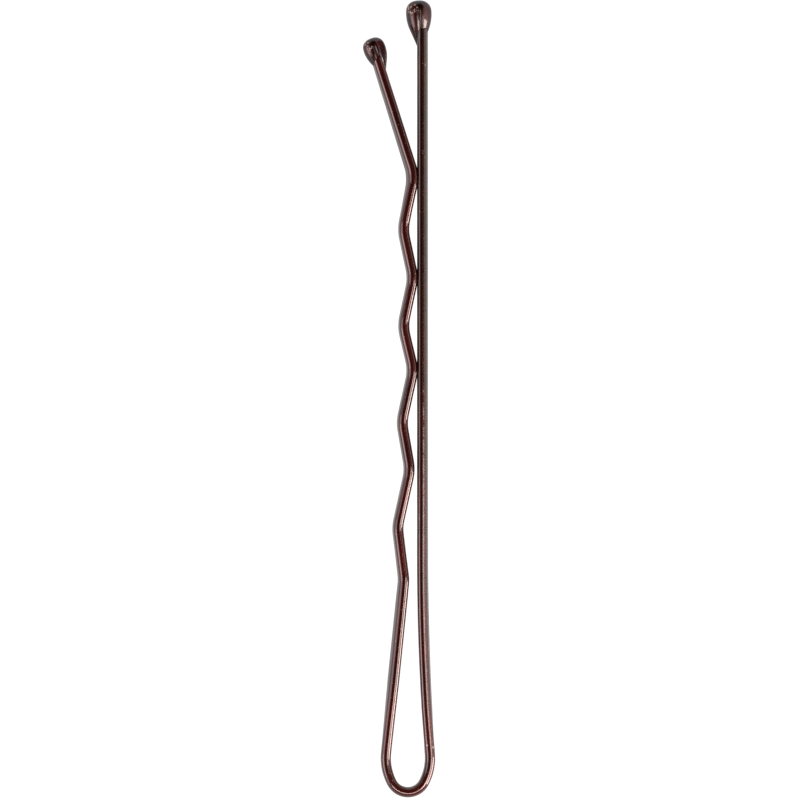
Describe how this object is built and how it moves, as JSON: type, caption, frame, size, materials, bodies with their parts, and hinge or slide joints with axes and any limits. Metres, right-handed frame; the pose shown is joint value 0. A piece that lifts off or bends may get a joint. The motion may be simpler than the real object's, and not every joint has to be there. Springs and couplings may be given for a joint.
{
  "type": "bobby pin",
  "caption": "Sprung hair pin of flat enamelled wire folded round a bow: one straight leg, one crimped leg that grips against it, resin drops over the cut ends.",
  "frame": {"origin": "centre of the bow's rounded end, in the middle of the wire's width", "axes": "+Y from the bow to the tips, +X towards the straight long leg, +Z across the wire's width; the pin lies on its side in the XY plane"},
  "size_m": [0.0046, 0.0508, 0.0016],
  "materials": {
    "enamel": "glossy maroon-brown stoved enamel on spring steel wire",
    "tip_resin": "dark glossy dipped resin"
  },
  "bodies": {
    "long_side": {"long_leg": "enamel", "bow": "enamel", "long_leg_tip": "tip_resin"},
    "wavy_side": {"wavy_leg_root": "enamel", "wavy_leg_grip": "enamel", "wavy_leg_tip": "tip_resin"}
  },
  "joints": [
    {"name": "leg_spread", "type": "hinge", "parent": "long_side", "child": "wavy_side", "pos_m": [0.00197, 0.00102, 0], "axis": [0, 0, 1], "range_deg": [0, 15], "stiffness_Nm_per_rad": 0.12, "deforming": ["bow"]}
  ]
}
